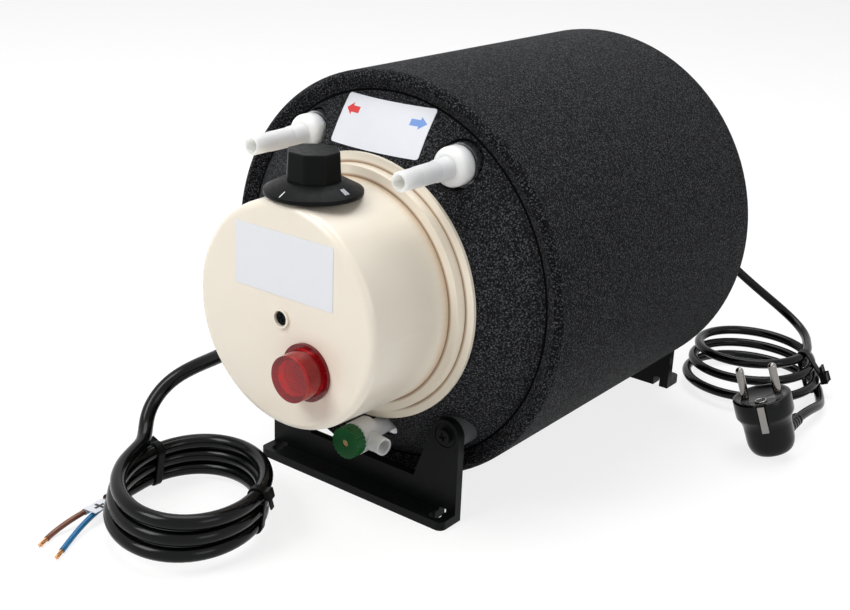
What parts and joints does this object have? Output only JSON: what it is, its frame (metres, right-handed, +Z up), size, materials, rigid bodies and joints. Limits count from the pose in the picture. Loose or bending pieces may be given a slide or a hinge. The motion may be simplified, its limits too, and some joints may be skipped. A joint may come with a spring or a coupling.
{
  "type": "caravan water heater",
  "caption": "Horizontal foam-jacketed storage water heater on bracket feet, with a thermostat housing, hose spigots, drain valve, supply cable and mains lead.",
  "frame": {"origin": "on the floor, at the centre of the four base holes, midway between the two feet and under the body axis", "axes": "+Z up, the body lies along Y and its control housing faces -Y, +X is to the right seen from the front"},
  "size_m": [0.2833, 0.5043, 0.2293],
  "materials": {
    "foam": "matt, fine grain",
    "ivory_plastic": "satin",
    "white_print": "matt",
    "pale_label": "satin",
    "red_lens": "clear gloss",
    "black_plastic": "satin",
    "white_plastic": "satin, slightly see-through",
    "bush_plastic": "satin",
    "green_plastic": "satin",
    "tan_plastic": "matt",
    "black_metal": "satin",
    "steel": "satin",
    "element_sheath": "satin",
    "seal_rubber": "matt",
    "copper": "bare",
    "black_sheath": "satin",
    "brown_sheath": "satin",
    "blue_sheath": "satin",
    "plated_pins": "plated"
  },
  "bodies": {
    "heater": {"foam_jacket": "foam", "foam_front_disc": "foam", "foam_rear_disc": "foam", "control_housing": "ivory_plastic", "rear_terminal_cap": "ivory_plastic", "thermostat_body": "ivory_plastic", "flow_label": "white_print", "polarity_flag": "white_print", "rating_label": "pale_label", "pilot_lamp_lens": "red_lens", "housing_screw": "black_plastic", "pilot_lamp_holder": "black_plastic", "thermal_cutout": "black_plastic", "coil_ties": "black_plastic", "hank_tie": "black_plastic", "mains_gland": "black_plastic", "supply_grommet": "black_plastic", "hot_outlet_spigot": "white_plastic", "cold_inlet_spigot": "white_plastic", "drain_pipe": "white_plastic", "drain_valve_body": "white_plastic", "outlet_riser_tube": "white_plastic", "inlet_dip_tube": "white_plastic", "terminal_block": "white_plastic", "bracket_bushes": "bush_plastic", "front_bracket": "black_metal", "rear_bracket": "black_metal", "bracket_screws": "black_metal", "bracket_washers": "black_metal", "tank": "steel", "element_flange": "steel", "flange_bolts": "steel", "rear_element_head": "steel", "rear_cap_screw": "steel", "thermostat_pocket": "steel", "thermostat_bracket": "steel", "housing_pillar": "steel", "heating_element_12v": "element_sheath", "heating_element_230v": "element_sheath", "element_gaskets": "seal_rubber", "spigot_seals": "seal_rubber", "copper_ends": "copper", "thermostat_sensor": "copper", "supply_cable": "black_sheath", "supply_coil": "black_sheath", "mains_lead": "black_sheath", "mains_hank": "black_sheath", "mains_tail": "black_sheath", "plug_body": "black_sheath", "brown_core": "brown_sheath", "blue_core": "blue_sheath", "plug_pins": "plated_pins", "plug_earth_contacts": "plated_pins"},
    "knob": {"thermostat_knob": "black_plastic", "knob_ticks": "white_print", "thermostat_spindle": "steel"},
    "drain_handle": {"drain_knob": "green_plastic"},
    "drain_stem": {"drain_plunger": "tan_plastic", "drain_seal": "seal_rubber"}
  },
  "joints": [
    {"name": "thermostat_turn", "type": "hinge", "parent": "heater", "child": "knob", "pos_m": [0, -0.16046, 0.19], "axis": [0, 0, 1], "range_deg": [-135, 135]},
    {"name": "drain_turn", "type": "hinge", "parent": "heater", "child": "drain_handle", "pos_m": [0.0115, -0.1435, 0.039], "axis": [0, -1, 0], "range_deg": [0, 540]},
    {"name": "drain_lift", "type": "slide", "parent": "heater", "child": "drain_stem", "axis": [0, -1, 0], "range_m": [0, 0.00375]}
  ],
  "couplings": [
    {"joint": "drain_turn", "follows": "drain_lift", "rad_per_m": 2513}
  ]
}
